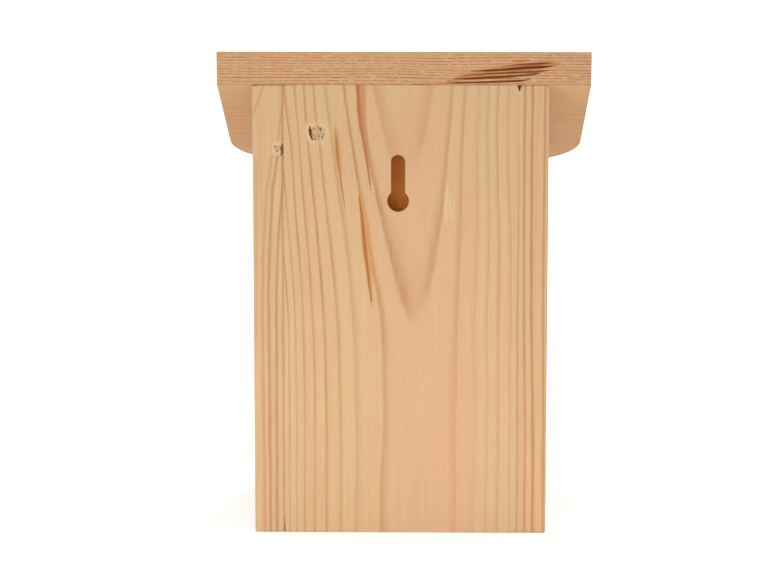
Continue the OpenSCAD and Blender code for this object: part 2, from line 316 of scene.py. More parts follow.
def make_pin_knot():
    """A small knot seen end on: a brown core, a broken ring of dark specks and a pale halo."""
    wires, given, result = shader_group(
        "pin_knot", {"Board": "Vector", "Knot": "Vector", "Size": "Float"},
        {"Core": "Float", "Speck": "Float", "Halo": "Float"},
    )
    away = wires.vector("LENGTH", wires.vector("SUBTRACT", given["Board"], given["Knot"]))
    far = wires.math("DIVIDE", away, given["Size"])
    wires.feed(result["Core"], wires.ramp(far, 0.4, 1.0, 1.0, 0.0))
    wires.feed(result["Halo"], wires.ramp(far, 0.9, 1.9, 1.0, 0.0))
    on_ring = wires.ramp(wires.math("ABSOLUTE", wires.math("SUBTRACT", far, 0.62)), 0.15, 0.45, 1.0, 0.0)
    specks = wires.ramp(wires.noise(wires.stretch(given["Board"], *SPECK_SWELLS)), 0.5, 0.6)
    wires.feed(result["Speck"], wires.math("MULTIPLY", specks, on_ring))
    return wires.tree


def make_swerve():
    """Bends the grain round a knot, by sampling it nearer to the knot than it is."""
    wires, given, result = shader_group(
        "swerve", {"Board": "Vector", "Knot": "Vector", "Reach": "Float", "Pull": "Float"},
        {"Board": "Vector"},
    )
    away = wires.stretch(wires.vector("SUBTRACT", given["Board"], given["Knot"]), 1.0, 1.0, 0.3)
    far = wires.math("DIVIDE", wires.vector("LENGTH", away), given["Reach"])
    near = wires.math("EXPONENT", wires.math("MULTIPLY", wires.math("MULTIPLY", far, far), -1.0))
    pull = wires.scaled(wires.stretch(away, 1.0, 1.0, 0.0), wires.math("MULTIPLY", near, given["Pull"]))
    wires.feed(result["Board"], wires.vector("SUBTRACT", given["Board"], pull))
    return wires.tree


BOARD_SPACE = make_board_space()
GROWTH_RINGS = make_growth_rings()
WOOD_FIBRES = make_wood_fibres()
VEIN = make_vein()
PIN_KNOT = make_pin_knot()
SWERVE = make_swerve()


USUAL_RINGS = {
    "Start": 0.0, "First_ring": 0.0, "Slack": 0.0, "Softness": 0.5, "Contrast": 1.0, "Wander": 4.0,
    "Pace": 1.0, "Warmth": 0.08, "Heart": 0.0, "Sawn": 0.0,
}


class Stock:
    """How a board was cut from its tree: where its grain lies on the hotel, and how its rings run.

    Beside the rings' own settings, Warmth goes from straw to pink, Heart from sapwood to heartwood, and
    Sawn from a planed face to a sawn one.
    """

    def __init__(self, corner, across, outward, along, **rings):
        self.corner = Vector(corner)
        self.across = across
        self.outward = outward
        self.along = along
        self.rings = USUAL_RINGS | rings

    def from_behind(self, side, height):
        """The place on the board of a spot seen from behind, side mm right of the middle, height mm up."""
        reach = Vector((BOX_X - side * MM, WALL_Y, height * MM)) - self.corner
        return tuple(reach.dot(direction) / MM for direction in (self.across, self.outward, self.along))


def new_material(name, specular=0.3):
    material = bpy.data.materials.new(name)
    material.use_nodes = True
    shader = material.node_tree.nodes["Principled BSDF"].inputs
    shader["Specular IOR Level"].default_value = specular
    return material, Wiring(material.node_tree), shader


def add_relief(wires, shader, height, depth):
    bump = wires.node("Bump", 1.0, depth)
    wires.feed(bump.inputs["Height"], height)
    wires.feed(shader["Normal"], bump.outputs[0])


def draw_vein(wires, board, stock, path):
    """The mask of a line through the places of path, each one (side, height, half width) from behind."""
    mark = 0.0
    for (*start, half_from), (*end, half_to) in zip(path, path[1:]):
        stretch = wires.group(VEIN, Board=board, From=stock.from_behind(*start), To=stock.from_behind(*end),
                              Half_from=half_from, Half_to=half_to)
        mark = wires.math("MAXIMUM", mark, stretch["Mark"])
    return mark


def clear_pine(wires, rings, fibres, softness, warmth, heart, torn):
    """The colour of pine without knots or veins, and the share of late wood in it."""
    hue = wires.math("ADD", wires.math("MULTIPLY", rings["Ring_tone"], 0.2),
                     wires.math("MULTIPLY", fibres["Cloud"], 0.7))
    hue = wires.math("ADD", hue, warmth)
    colour = wires.mix(wires.ramp(hue, 0.35, 0.5, 0.85, 0.0), EARLY_PINE, STRAW_PINE)
    colour = wires.mix(wires.ramp(hue, 0.5, 0.65, 0.0, 0.85), colour, PINK_PINE)
    colour = wires.mix(heart, colour, HEART_PINE)
    late = wires.math("MULTIPLY", rings["Latewood"], wires.ramp(fibres["Streak"], 0.35, 0.65, 0.6, 1.05))
    late = wires.math("MAXIMUM", late, wires.math("MULTIPLY", fibres["Canal"], 0.45))
    late = wires.math("MULTIPLY", late, wires.math("SUBTRACT", 1.0, wires.math("MULTIPLY", torn, 0.5)))
    line_tone = wires.mix(heart, wires.mix(softness, LATE_PINE, PINK_LATE), HEART_LATE)
    colour = wires.mix(late, colour, line_tone)
    pale = wires.math("MULTIPLY", wires.math("MAXIMUM", torn, fibres["Fleck"]), 0.3)
    return wires.mix(pale, colour, PALE_FLECK), late


def draw_knot(wires, colour, board, knot, size):
    """The colour with a small knot laid over it."""
    marks = wires.group(PIN_KNOT, Board=board, Knot=knot, Size=size)
    colour = wires.mix(wires.math("MULTIPLY", marks["Halo"], 0.45), colour, KNOT_PALE)
    colour = wires.mix(wires.math("MULTIPLY", marks["Core"], 0.4), colour, KNOT_CORE)
    return wires.mix(wires.math("MULTIPLY", marks["Speck"], 0.85), colour, KNOT_BROWN)


def pine(name, stock, rings_move=None, bends=(), lines=(), knots=(), veins=(), routed=None):
    """Planed pine, by places seen from behind.

    bends are where its grain swerves, lines follow the grain, and knots and veins lie over it, among them
    painted shadow in the gaps of joints. routed is a routed cut, whose recess gets a painted shade that
    darkens deeper in.
    """
    material, wires, shader = new_material(name, specular=0.1)
    spot = wires.node("TexCoord").outputs
    plain = wires.group(BOARD_SPACE, Place=spot["Object"], Corner=stock.corner, Across=stock.across,
                        Outward=stock.outward, Along=stock.along)["Board"]
    board = plain
    for place, reach, pull in bends:
        knot = stock.from_behind(*place)
        board = wires.group(SWERVE, Board=board, Knot=knot, Reach=reach, Pull=pull)["Board"]
    shapes = stock.rings | (rings_move(wires, plain) if rings_move else {})
    warmth, heart, sawn = (shapes.pop(name) for name in ("Warmth", "Heart", "Sawn"))
    rings = wires.group(GROWTH_RINGS, Board=board, **shapes)
    fibres = wires.group(WOOD_FIBRES, Board=board)
    torn = wires.math("MULTIPLY", fibres["Tear"], sawn)
    colour, late = clear_pine(wires, rings, fibres, shapes["Softness"], warmth, heart, torn)
    rough = wires.math("ADD", wires.math("MULTIPLY", sawn, 2.0), 1.0)
    fibre = wires.math("MULTIPLY", wires.math("SUBTRACT", fibres["Fibre"], 0.5), rough)
    shade = wires.math("MULTIPLY", wires.math("ADD", fibre, fibres["Streak"]), 0.12)
    colour = wires.shaded(colour, wires.math("ADD", shade, 0.94))
    for path, line_colour, strength in lines:
        mark = wires.math("MULTIPLY", draw_vein(wires, board, stock, path), strength)
        colour = wires.mix(mark, colour, line_colour)
    for place, size in knots:
        colour = draw_knot(wires, colour, plain, stock.from_behind(*place), size)
    # Resin veins, and painted shadow in the gaps of joints, laid over the wood.
    for path, vein_and_shadow_colour, strength in veins:
        mark = wires.math("MULTIPLY", draw_vein(wires, plain, stock, path), strength)
        colour = wires.mix(mark, colour, vein_and_shadow_colour)
    # Painted shade in the keyhole's recess: the wood turns darker and redder from 0.4 mm to 4 mm below the
    # face.
    if routed:
        near = draw_vein(wires, plain, stock, routed)
        depth = wires.node("SeparateXYZ", plain).outputs[1]
        recess_shade = wires.math("MULTIPLY", wires.ramp(near, 0.0, 0.1), wires.ramp(depth, -0.4, -4.0))
        colour = wires.mix(wires.math("MULTIPLY", recess_shade, 0.85), colour, RECESS_SHADE_PINE)
    cut_across = wires.math("ABSOLUTE", wires.vector("DOT_PRODUCT", spot["Normal"], stock.along))
    colour = wires.mix(wires.ramp(cut_across, 0.6, 0.95), colour, END_GRAIN, "MULTIPLY")
    wires.feed(shader["Base Color"], colour)
    wires.feed(shader["Roughness"], wires.ramp(fibres["Fibre"], 0.2, 0.8, 0.52, 0.68))
    relief = wires.math("ADD", wires.math("MULTIPLY", late, 0.6), fibres["Fibre"])
    add_relief(wires, shader, wires.math("MULTIPLY", relief, rough), PINE_RELIEF)
    return material


def bare_copy(node_name):
    """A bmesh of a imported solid, its loose triangles welded and its flat faces made whole."""
    shape = bmesh.new()
    shape.from_mesh(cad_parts[node_name].data)
    bmesh.ops.remove_doubles(shape, verts=shape.verts, dist=WELD)
    bmesh.ops.dissolve_limit(shape, angle_limit=FLAT_TURN, verts=shape.verts, edges=shape.edges)
    return shape


def finish_piece(shape, name, node_name, material):
    """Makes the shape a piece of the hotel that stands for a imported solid."""
    mesh = bpy.data.meshes.new(name)
    shape.to_mesh(mesh)
    shape.free()
    mesh.materials.append(material)
    mesh.shade_smooth()
    mesh.set_sharp_from_angle(angle=SHARP_TURN)
    piece = bpy.data.objects.new(name, mesh)
    bpy.context.scene.collection.objects.link(piece)
    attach(piece, "root")
    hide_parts(node_name)


def ease_edges(shape, width, picked):
    """Rounds the sharp edges that picked says yes to, as a few strokes of a sanding block do."""
    sharp = [
        edge for edge in shape.edges
        if len(edge.link_faces) == 2 and edge.calc_face_angle(0) > SHARP_TURN and picked(edge)
    ]
    bmesh.ops.bevel(shape, geom=sharp, offset=width, offset_type="OFFSET", segments=3, profile=0.5,
                    affect="EDGES", clamp_overlap=True, material=-1)


def is_long(edge):
    return edge.calc_length() > LONG_EDGE


def is_upright(edge):
    start, end = (vert.co for vert in edge.verts)
    return abs(start.z - end.z) > 0.9 * edge.calc_length()


def is_at_joint(edge):
    """Whether an edge lies along the joint of a side board and the back board, which was planed flush."""
    middle = (edge.verts[0].co + edge.verts[1].co) / 2
    return BACK_LOW.x - MM < middle.x < BACK_HIGH.x + MM and middle.y > WALL_Y - MM


def is_keyhole_rim(edge):
    """Whether an edge of the back board lies round the mouth of its keyhole."""
    return all(
        vert.co.y > WALL_Y - 0.1 * MM
        and abs(vert.co.x - BOX_X) < KEYHOLE_REACH
        and 0.6 * BOX_TOP < vert.co.z < 0.95 * BOX_TOP
        for vert in edge.verts
    )


def back_rings(wires, board):
    """The pith wanders aside and nearer up the board, so that the rings end in points on its upper half.

    The rings are wider to the left of it than to the right, and their lines are plainest up there. Over the
    pith the wood is pinkest and the lines fade, cut nearly along the ring.
    """
    straight_up_to = 97.0
    full_climb = 133.0
    deepest_pith = 56.4
    rise_at_top = 5.6
    across, _, height = wires.node("SeparateXYZ", board).outputs
    climb = wires.math("MAXIMUM", wires.math("SUBTRACT", height, straight_up_to), 0.0)
    climb = wires.math("DIVIDE", climb, full_climb)
    rise = wires.math("MULTIPLY", wires.math("POWER", climb, 1.26), rise_at_top)
    pith = wires.ramp(height, straight_up_to, 232.0, 9.3, 2.5)
    aside = wires.math("ABSOLUTE", wires.math("SUBTRACT", across, pith))
    contrast = wires.math("MULTIPLY", wires.ramp(height, 60.0, 150.0, 0.8, 1.15),
                          wires.ramp(across, 0.0, 30.0, 1.0, 0.68))
    return {
        "Pith_across": pith,
        "Pith_depth": wires.math("SUBTRACT", deepest_pith, rise),
        "Slack": wires.math("MULTIPLY", wires.ramp(across, -60.0, -33.0, 0.034, 0.0985),
                            wires.ramp(across, -5.0, 10.0, 1.0, 0.0)),
        "Softness": wires.ramp(across, -30.0, 0.0, 0.15, 0.65),
        "Contrast": wires.math("MULTIPLY", contrast, wires.ramp(aside, 1.0, 8.0, 0.4, 1.0)),
        "Warmth": wires.ramp(aside, 8.0, 40.0, 0.11, -0.02),
    }


# Painted shadow along the gap of a joint between the back board and a side board, darkest in the open wedge
# at its foot.
LEFT_SEAM_SHADOWS = [
    ([(-58.9, -5, 0.8), (-58.7, 100, 0.8), (-58.5, 232, 0.8)], BROWN_LINE, 0.5),
    ([(-58.5, 178, 0.3), (-58.5, 232, 0.8)], GAP_SHADOW_BROWN, 0.25),
    ([(-58.6, -5, 0.7), (-58.5, 2, 0.4), (-58.5, 8, 0.1)], GAP_SHADOW_DARK, 0.9),
]
# Painted shadow along the gap of the other joint, with a dark notch of painted shadow at its top.
RIGHT_SEAM_SHADOWS = [
    ([(59.0, -5, 0.8), (59.0, 50, 0.8), (58.6, 110, 0.9), (58.7, 165, 0.5), (58.8, 200, 0.1)],
     BROWN_LINE, 0.5),
    # Painted shadow in a small notch at the top of the joint.
    ([(58.7, 229, 1.9), (58.7, 226.8, 1.1), (58.7, 225, 0.3)], KNOT_AND_GAP_SHADOW_DARK, 1.0),
]


def make_back():
    stock = Stock((BOX_X, WALL_Y, 0), -SIDEWAYS, WALLWARD, UP,
                  Ring_width=3.35, Start=59.5, First_ring=0.91, Wander=2.2, Pace=0.6, Seed=3.0)
    material = pine(
        "back_pine", stock, back_rings,
        bends=[((-59.5, 194), 7.0, 0.5), ((-41.1, 204), 4.0, 0.35)],
        knots=[((-41.1, 203.9), 4.2)],
        veins=[
            ([(23.2, 179, 0.4), (22.9, 172, 1.2), (22.7, 166, 1.9), (22.8, 161.5, 1.7), (23.2, 158, 0.4)],
             PALE_FLECK, 0.4),
            ([(24.6, 174, 0.2), (24.8, 168, 0.5), (25.0, 163.5, 0.6), (25.1, 161, 0.2)], PALE_FLECK, 0.6),
            ([(26.0, 174, 0.3), (26.2, 167, 0.8), (26.3, 160, 0.7), (26.2, 156, 0.2)], PALE_FLECK, 0.25),
            ([(-19.7, 232, 2.7), (-18.8, 215, 2.3), (-17.6, 203, 1.7), (-16.2, 193, 1.2), (-14.7, 175, 0.4)],
             PALE_RESIN, 0.9),
            ([(-21.5, 232, 1.3), (-20.6, 215, 1.3), (-19.3, 205, 1.2), (-17.2, 193, 0.9), (-15.2, 178, 0.4)],
             RED_RESIN, 0.9),
            ([(-19.8, 175, 0.6), (-18.0, 160, 2.3), (-16.6, 146, 2.3), (-15.2, 132, 1.8), (-14.1, 117, 0.4)],
             PALE_ORANGE, 0.9),
            ([(-20.7, 173, 0.4), (-19.0, 160, 1.3), (-17.7, 147, 1.4), (-16.3, 134, 1.1), (-14.6, 119, 0.4)],
             ORANGE_RESIN, 0.95),
            ([(-32.0, 208, 0.4), (-31.1, 201, 1.4), (-30.3, 192.5, 1.4), (-29.2, 183, 0.7)],
             PALE_ORANGE, 0.75),
            ([(-32.6, 207, 0.2), (-31.9, 200, 0.9), (-31.2, 192.5, 1.0), (-29.8, 181, 0.6),
              (-27.4, 165, 0.2)],
             ORANGE_RESIN, 0.8),
            ([(-46.4, 209, 0.3), (-46.1, 205, 0.8), (-45.8, 202, 0.8), (-44.9, 199, 0.4)], PALE_FLECK, 0.7),
            ([(-45.0, 207, 0.4), (-44.9, 205, 0.9), (-44.6, 203, 0.9), (-43.8, 200.6, 0.5)], KNOT_AND_GAP_SHADOW_DARK, 1.0),
            ([(57.3, BELOW_ALL, 1.6), (57.3, ABOVE_ALL, 1.6)], GREEN_BAND, 0.5),
            *LEFT_SEAM_SHADOWS,
            *RIGHT_SEAM_SHADOWS,
            ([(-58.4, 198.5, 0.3), (-58.3, 195, 0.5), (-58.4, 190, 0.2)], KNOT_AND_GAP_SHADOW_DARK, 0.8),
            # Painted shadow of the hairline gap under the roof.
            ([(-59, 228, 0.7), (-53, 228, 0.5), (-46, 228, 0.2)], GAP_SHADOW_BROWN, 0.9),
        ],
        # The keyhole's route, whose recess gets a painted shade.
        routed=[(1.2, 220, 22.0), (1.2, 140, 22.0)],
    )
    shape = bare_copy("back_board")
    ease_edges(shape, EASED_BACK, lambda edge: is_long(edge) and not is_upright(edge))
    ease_edges(shape, EASED_KEYHOLE, is_keyhole_rim)
    finish_piece(shape, "back_planed", "back_board", material)


def make_side(side_name, stock, **features):
    shape = bare_copy(side_name + "_side_board")
    ease_edges(shape, EASED, lambda edge: is_long(edge) and not is_at_joint(edge))
    finish_piece(shape, side_name + "_side_planed", side_name + "_side_board",
                 pine(side_name + "_pine", stock, **features))


def side_rings(wires, board):
    """The rings are faint on the rear edge, where the lines that show are given one by one."""
    depth = wires.node("SeparateXYZ", board).outputs[0]
    return {"Contrast": wires.ramp(depth, 68.5, 69.5, 0.85, 0.3)}


def edge_line(half_width, colour, strength, *places):
    """A line of late wood up a side board's rear edge, through places given as (side, height)."""
    return [(*place, half_width) for place in places], colour, strength


make_back()
make_side(
    "right",
    Stock((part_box("right_side_board")[1].x, 0, 0), WALLWARD, SIDEWAYS, UP,
          Pith_across=10.0, Pith_depth=60.0, Ring_width=3.6, Warmth=0.0, Seed=11.0),
    rings_move=side_rings,
    lines=[
        edge_line(0.9, BROWN_LINE, 0.35, (-68.6, BELOW_ALL), (-68.7, 50), (-69.0, 122), (-68.0, 152),
                  (-66.5, 176), (-64.0, 192)),
        edge_line(1.0, BROWN_LINE, 0.6, (-65.6, BELOW_ALL), (-65.7, 50), (-66.0, 122), (-65.0, 152),
                  (-63.5, 176), (-61.0, 192)),
        edge_line(1.0, BROWN_LINE, 0.65, (-62.2, BELOW_ALL), (-62.2, 50), (-62.0, 125), (-61.0, 150),
                  (-59.5, 168), (-58.5, 177)),
        edge_line(0.9, BROWN_LINE, 0.25, (-72.3, 100), (-72.0, 140), (-71.7, 190)),
        edge_line(0.7, BROWN_LINE, 0.4, (-58.6, 216), (-59.7, 208), (-60.9, 200)),
        edge_line(0.9, BROWN_LINE, 0.35, (-73.2, 213), (-70.9, 219), (-67.3, 228)),
    ],
    knots=[((-60.7, 196.2), 2.3)],
    veins=[
        *LEFT_SEAM_SHADOWS,
        ([(-58.9, 198.6, 0.4), (-58.8, 196.6, 0.6), (-58.9, 194, 0.7), (-59.5, 192.6, 0.3)], KNOT_AND_GAP_SHADOW_DARK, 0.9),
        # Painted shadow of the hairline gap under the roof.
        ([(-74, 227.4, 0.6), (-68, 228, 0.5), (-58, 228, 0.7)], GAP_SHADOW_BROWN, 0.9),
    ],
)
make_side(
    "left",
    Stock((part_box("left_side_board")[0].x, 0, 0), WALLWARD, -SIDEWAYS, UP,
          Pith_across=8.0, Pith_depth=52.0, Ring_width=3.4, Warmth=0.0, Seed=23.0),
    rings_move=side_rings,
    lines=[
        edge_line(1.8, ORANGE_BAND, 0.4, (67.4, BELOW_ALL), (66.8, 50), (66.6, ABOVE_ALL)),
        edge_line(0.9, BROWN_LINE, 0.6, (63.0, BELOW_ALL), (62.8, 50), (61.9, 110), (61.4, 165),
                  (61.4, ABOVE_ALL)),
        edge_line(1.0, BROWN_LINE, 0.7, (67.0, BELOW_ALL), (66.8, 50), (65.5, 110), (65.1, 165),
                  (65.4, ABOVE_ALL)),
        edge_line(0.9, BROWN_LINE, 0.6, (72.2, BELOW_ALL), (72.0, 50), (71.3, 110), (71.3, 165),
                  (71.8, ABOVE_ALL)),
    ],
    veins=RIGHT_SEAM_SHADOWS,
)


def roof_rings(wires, board):
    """The board was sawn off plumb at the wall. There its lines are strong and torn, elsewhere faint."""
    wallward = (math.cos(ROOF_SLOPE), math.sin(ROOF_SLOPE), 0)
    sawn = wires.ramp(wires.vector("DOT_PRODUCT", board, wallward), 0.5, 1.5, 1.0, 0.0)
    return {
        "Contrast": wires.math("ADD", wires.math("MULTIPLY", sawn, 1.05), 0.5),
        "Warmth": wires.math("ADD", wires.math("MULTIPLY", sawn, 0.2), -0.12),
        "Heart": wires.math("ADD", wires.math("MULTIPLY", sawn, 0.35), 0.45),
        "Sawn": sawn,
    }


def make_roof():
    stock = Stock((BOX_X, WALL_Y, BOX_TOP), DOWN_ROOF, OFF_ROOF, SIDEWAYS,
                  Softness=0.3, Pith_across=75.0, Pith_depth=100.0, Ring_width=1.35, Seed=41.0)
    material = pine(
        "roof_pine", stock, roof_rings,
        veins=[
            ([(23, 229.3, 1.0), (32, 231.8, 2.2), (44, 233.7, 3.4), (56, 235.6, 3.6), (68, 237.5, 2.6),
              (78, 238.3, 1.0)],
             RESIN_STAIN, 0.7),
            ([(55, 239.5, 0.3), (59, 239.7, 0.7), (63, 239.8, 0.3)], RED_LINE, 0.7),
            ([(50, 237.2, 0.1), (59, 238.0, 0.5), (69, 238.6, 0.8), (75, 238.9, 0.2)], DARK_RESIN, 0.85),
            ([(34.8, 234.7, 0.2), (43, 235.0, 0.8), (50, 235.4, 0.7), (59, 236.2, 1.0), (69, 236.7, 1.0),
              (75, 237.3, 0.2)],
             DARK_RESIN, 1.0),
            ([(29.3, 232.5, 0.1), (44, 233.5, 0.6), (56, 234.0, 0.7), (67, 234.6, 0.8), (73, 235.0, 0.2)],
             DARK_RESIN, 0.9),
            ([(25.3, 230.9, 0.1), (32, 231.0, 0.7), (44, 231.5, 0.9), (56, 232.4, 0.9), (64, 233.0, 0.8),
              (69, 233.7, 0.2)],
             DARK_RESIN, 0.95),
            ([(22, 228.7, 0.2), (28, 228.9, 0.8), (44, 229.4, 0.8), (59, 230.0, 0.8), (64, 230.7, 0.2)],
             DARK_RESIN, 0.95),
            ([(5, 228.3, 0.3), (22, 228.6, 0.5)], RED_LINE, 0.6),
        ],
    )
    shape = bare_copy("roof_board")
    ease_edges(shape, EASED, is_long)
    finish_piece(shape, "roof_planed", "roof_board", material)


def make_inner_board(name, seed):
    stock = Stock((BOX_X, 0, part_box(name)[1].z), WALLWARD, UP, SIDEWAYS,
                  Pith_across=5.0, Pith_depth=55.0, Ring_width=2.6, Seed=seed)
    shape = bare_copy(name)
    ease_edges(shape, EASED_INSIDE, is_long)
    finish_piece(shape, name.replace("_board", "_planed"), name, pine(name + "_pine", stock))


make_roof()
make_inner_board("floor_board", 57.0)
make_inner_board("shelf_board", 71.0)

BEECH = srgb(214, 172, 128)
PINK_BEECH = srgb(206, 158, 118)
BEECH_FLECK = srgb(172, 124, 84)
# Painted shade on the walls of the drilled nests.
NEST_SHADE_BEECH = srgb(176, 130, 86)


def beech():
    """Steamed beech with its short dark flecks. bored is 1 on the walls of the drilled nests, which get a
    painted shade.
    """
    material, wires, shader = new_material("beech")
    spot = wires.node("TexCoord").outputs["Object"]
    board = wires.group(BOARD_SPACE, Place=spot, Corner=(BOX_X, 0, 0), Across=UP, Outward=-WALLWARD,
                        Along=SIDEWAYS)["Board"]
    rings = wires.group(GROWTH_RINGS, Board=board, Pith_across=-30.0, Pith_depth=40.0, Ring_width=4.5,
                        Softness=1.0, Contrast=1.0, Wander=8.0, Pace=1.0, Seed=87.0)
    fibres = wires.group(WOOD_FIBRES, Board=board)
    colour = wires.mix(wires.math("MULTIPLY", rings["Latewood"], 0.7), BEECH, PINK_BEECH)
    flecks = wires.noise(wires.stretch(board, *BEECH_FLECK_SWELLS), 1.0)
    fleck = wires.math("MULTIPLY", wires.ramp(flecks, 0.62, 0.72), 0.55)
    colour = wires.mix(fleck, colour, BEECH_FLECK)
    colour = wires.shaded(colour, wires.math("ADD", wires.math("MULTIPLY", fibres["Fibre"], 0.14), 0.93))
    bored = wires.node("Attribute", attribute_name="bored").outputs["Fac"]
    # Painted shade on the walls of the drilled nests.
    colour = wires.mix(wires.math("MULTIPLY", bored, 0.8), colour, NEST_SHADE_BEECH)
    wires.feed(shader["Base Color"], colour)
    wires.feed(shader["Roughness"], wires.ramp(fibres["Fibre"], 0.2, 0.8, 0.45, 0.62))
    add_relief(wires, shader, wires.math("SUBTRACT", fibres["Fibre"], fleck), BEECH_RELIEF)
    return material


def make_block():
    low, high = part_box("nesting_block")
    shape = bare_copy("nesting_block")
    bored = shape.verts.layers.float.new("bored")
    for vert in shape.verts:
        depths = [vert.co[axis] - low[axis] for axis in range(3)]
        depths += [high[axis] - vert.co[axis] for axis in range(3)]
        vert[bored] = 1.0 if min(depths) > 0.1 * MM else 0.0
    ease_edges(shape, EASED_BLOCK, is_long)
    finish_piece(shape, "beech_block", "nesting_block", beech())


make_block()

FRESH_CUT = srgb(234, 206, 160)
RIND = srgb(190, 144, 88)
BUNDLE = srgb(142, 98, 54)
PARTITION = srgb(184, 146, 102)
LINING = srgb(224, 196, 150)
STRAW_SKIN = srgb(218, 182, 122)
TAN_SKIN = srgb(192, 146, 92)
SMUDGE = srgb(132, 98, 60)
# Swells of noise to a millimetre sideways, along a cane and upwards.
CANE_CLOUD_SWELLS = (0.3, 0.05, 0.3)
CANE_STREAK_SWELLS = (2.2, 0.05, 2.2)
BUNDLE_SWELLS = (1.3, 0.02, 1.3)
SAW_MARK_SWELLS = (0.5, 0.5, 5.0)


def bamboo():
    """Dry bamboo. wall goes from 0 at the bore to 1 at the skin and is below 0 on the partition."""
    material, wires, shader = new_material("bamboo")
    spot = wires.node("TexCoord").outputs
    place = wires.scaled(spot["Object"], 1 / MM)
    wall = wires.node("Attribute", attribute_name="wall").outputs["Fac"]
    tone = wires.node("Attribute", attribute_name="tone").outputs["Fac"]
    clouds = wires.noise(wires.stretch(place, *CANE_CLOUD_SWELLS))
    hue = wires.math("ADD", wires.math("MULTIPLY", tone, 0.7), wires.math("MULTIPLY", clouds, 0.3))
    streaks = wires.noise(wires.stretch(place, *CANE_STREAK_SWELLS), 3.0)
    skin = wires.mix(hue, STRAW_SKIN, TAN_SKIN)
    skin = wires.mix(wires.ramp(streaks, 0.55, 0.75, 0.0, 0.5), skin, SMUDGE)
    lining = wires.mix(wires.ramp(streaks, 0.35, 0.7, 0.0, 0.35), LINING, TAN_SKIN)
    around = wires.mix(wires.ramp(wall, 0.4, 0.6), lining, skin)
    cells = wires.node("TexVoronoi", wires.stretch(place, *BUNDLE_SWELLS))
    cells.inputs["Scale"].default_value = 1.0
    crowded = wires.math("MULTIPLY", wall, 0.2)
    dots = wires.ramp(cells.outputs["Distance"], wires.math("ADD", crowded, 0.08),
                      wires.math("ADD", crowded, 0.26), 0.75, 0.0)
    cut = wires.mix(wires.ramp(wall, 0.3, 1.0, 0.0, 0.75), FRESH_CUT, RIND)
    cut = wires.mix(wires.math("MULTIPLY", hue, 0.6), cut, TAN_SKIN)
    cut = wires.mix(dots, cut, BUNDLE)
    saw_marks = wires.noise(wires.stretch(place, *SAW_MARK_SWELLS), 2.0)
    cut = wires.shaded(cut, wires.math("ADD", wires.math("MULTIPLY", saw_marks, 0.16), 0.91))
    cut = wires.mix(wires.ramp(wall, -0.4, -0.1, 1.0, 0.0), cut, PARTITION)
    _, facing, _ = wires.node("SeparateXYZ", spot["Normal"]).outputs
    ends = wires.ramp(wires.math("ABSOLUTE", facing), 0.55, 0.85)
    wires.feed(shader["Base Color"], wires.mix(ends, around, cut))
    wires.feed(shader["Roughness"], wires.math("ADD", wires.math("MULTIPLY", ends, 0.25), 0.42))
    relief = wires.math("ADD", wires.math("MULTIPLY", ends, saw_marks), streaks)
    add_relief(wires, shader, wires.math("SUBTRACT", relief, dots), BAMBOO_RELIEF)
    return material


def turned(profile, centre, steps):
    """A closed shape turned round an axis that runs along Y through centre. profile gives (radius, y)."""
    shape = bmesh.new()
    corners = [shape.verts.new((centre.x + radius, y, centre.z)) for radius, y in profile]
    edges = [shape.edges.new(ends) for ends in zip(corners, corners[1:])]
    bmesh.ops.spin(shape, geom=corners + edges, cent=centre, axis=WALLWARD, angle=math.tau, steps=steps,
                   use_merge=True)
    bmesh.ops.remove_doubles(shape, verts=shape.verts, dist=WELD)
    bmesh.ops.recalc_face_normals(shape, faces=shape.faces)
    return shape


def cane_measures(node_name):
    """The centre and outer radius of a packed cane, its two ends, and the radius and floor of its bore."""
    low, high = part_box(node_name)
    centre = (low + high) / 2
    spots = [(math.hypot(v.co.x - centre.x, v.co.z - centre.z), v.co.y)
             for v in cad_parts[node_name].data.vertices]
    bore = min(spots)[0]
    floor = max(y for distance, y in spots if distance < bore + 0.05 * MM)
    return centre, (high.x - low.x) / 2, low.y, high.y, bore, floor


CANE_FACETS = 48
CANE_SEED = 9
OVAL_SKIN = 0.008
OVAL_BORE = 0.02
LOBED_BORE = 0.015
STEEPEST_CUT = 0.03


